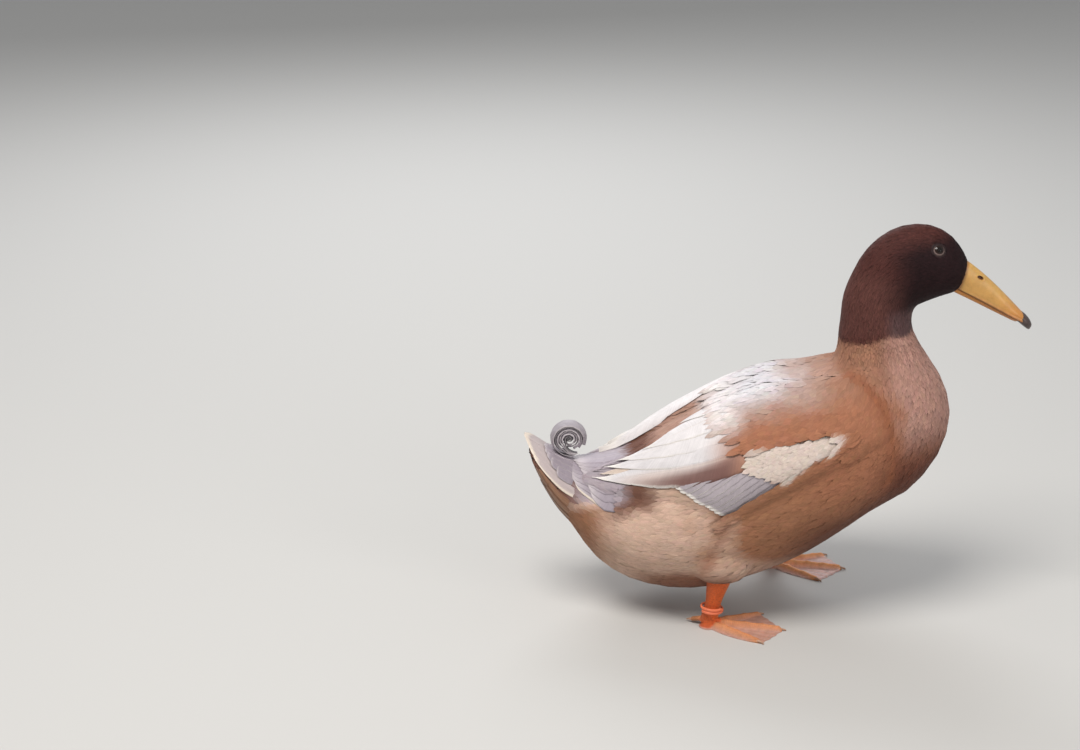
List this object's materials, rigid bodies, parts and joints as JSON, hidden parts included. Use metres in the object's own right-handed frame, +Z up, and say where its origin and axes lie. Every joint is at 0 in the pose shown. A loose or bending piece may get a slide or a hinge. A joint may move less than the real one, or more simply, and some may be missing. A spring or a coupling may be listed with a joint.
{
  "type": "standing drake",
  "caption": "Life-size still model of a buff drake, a domestic duck, standing with one foot forward, folded wings, curled tail feathers and a ring on one leg.",
  "frame": {"origin": "middle of the bird's length and width at floor level, between the feet", "axes": "+X the way the bill points, +Y the bird's left side, +Z up"},
  "size_m": [0.4769, 0.2047, 0.3786],
  "materials": {
    "body_feathers": "soft contour feathers, matte",
    "neck_feathers": "short dark feathers, matte",
    "head_feathers": "short dark feathers, faint sheen",
    "bill_horn": "waxy horn, satin",
    "bill_lower_horn": "waxy horn, satin",
    "nail_horn": "dark hard horn, satin",
    "eye": "wet and glossy",
    "wing_feathers": "smooth flight feathers, matte",
    "tail_feathers": "smooth tail feathers, matte",
    "curl_feathers": "curled feathers, matte",
    "thigh_feathers": "soft short feathers, matte",
    "leg_skin": "scaly skin, satin",
    "foot_skin": "scaly toes and wrinkled webs, satin",
    "band": "smooth coloured plastic"
  },
  "bodies": {
    "root": {"torso": "body_feathers", "neck": "neck_feathers", "head": "head_feathers", "bill_upper": "bill_horn", "bill_lower": "bill_lower_horn", "bill_nail": "nail_horn", "eye_left": "eye", "eye_right": "eye", "wing_left": "wing_feathers", "wing_right": "wing_feathers", "tail": "tail_feathers", "tail_curls": "curl_feathers", "thigh_left": "thigh_feathers", "thigh_right": "thigh_feathers", "shank_left": "leg_skin", "shank_right": "leg_skin", "foot_left": "foot_skin", "foot_right": "foot_skin", "leg_band": "band"}
  },
  "joints": []
}
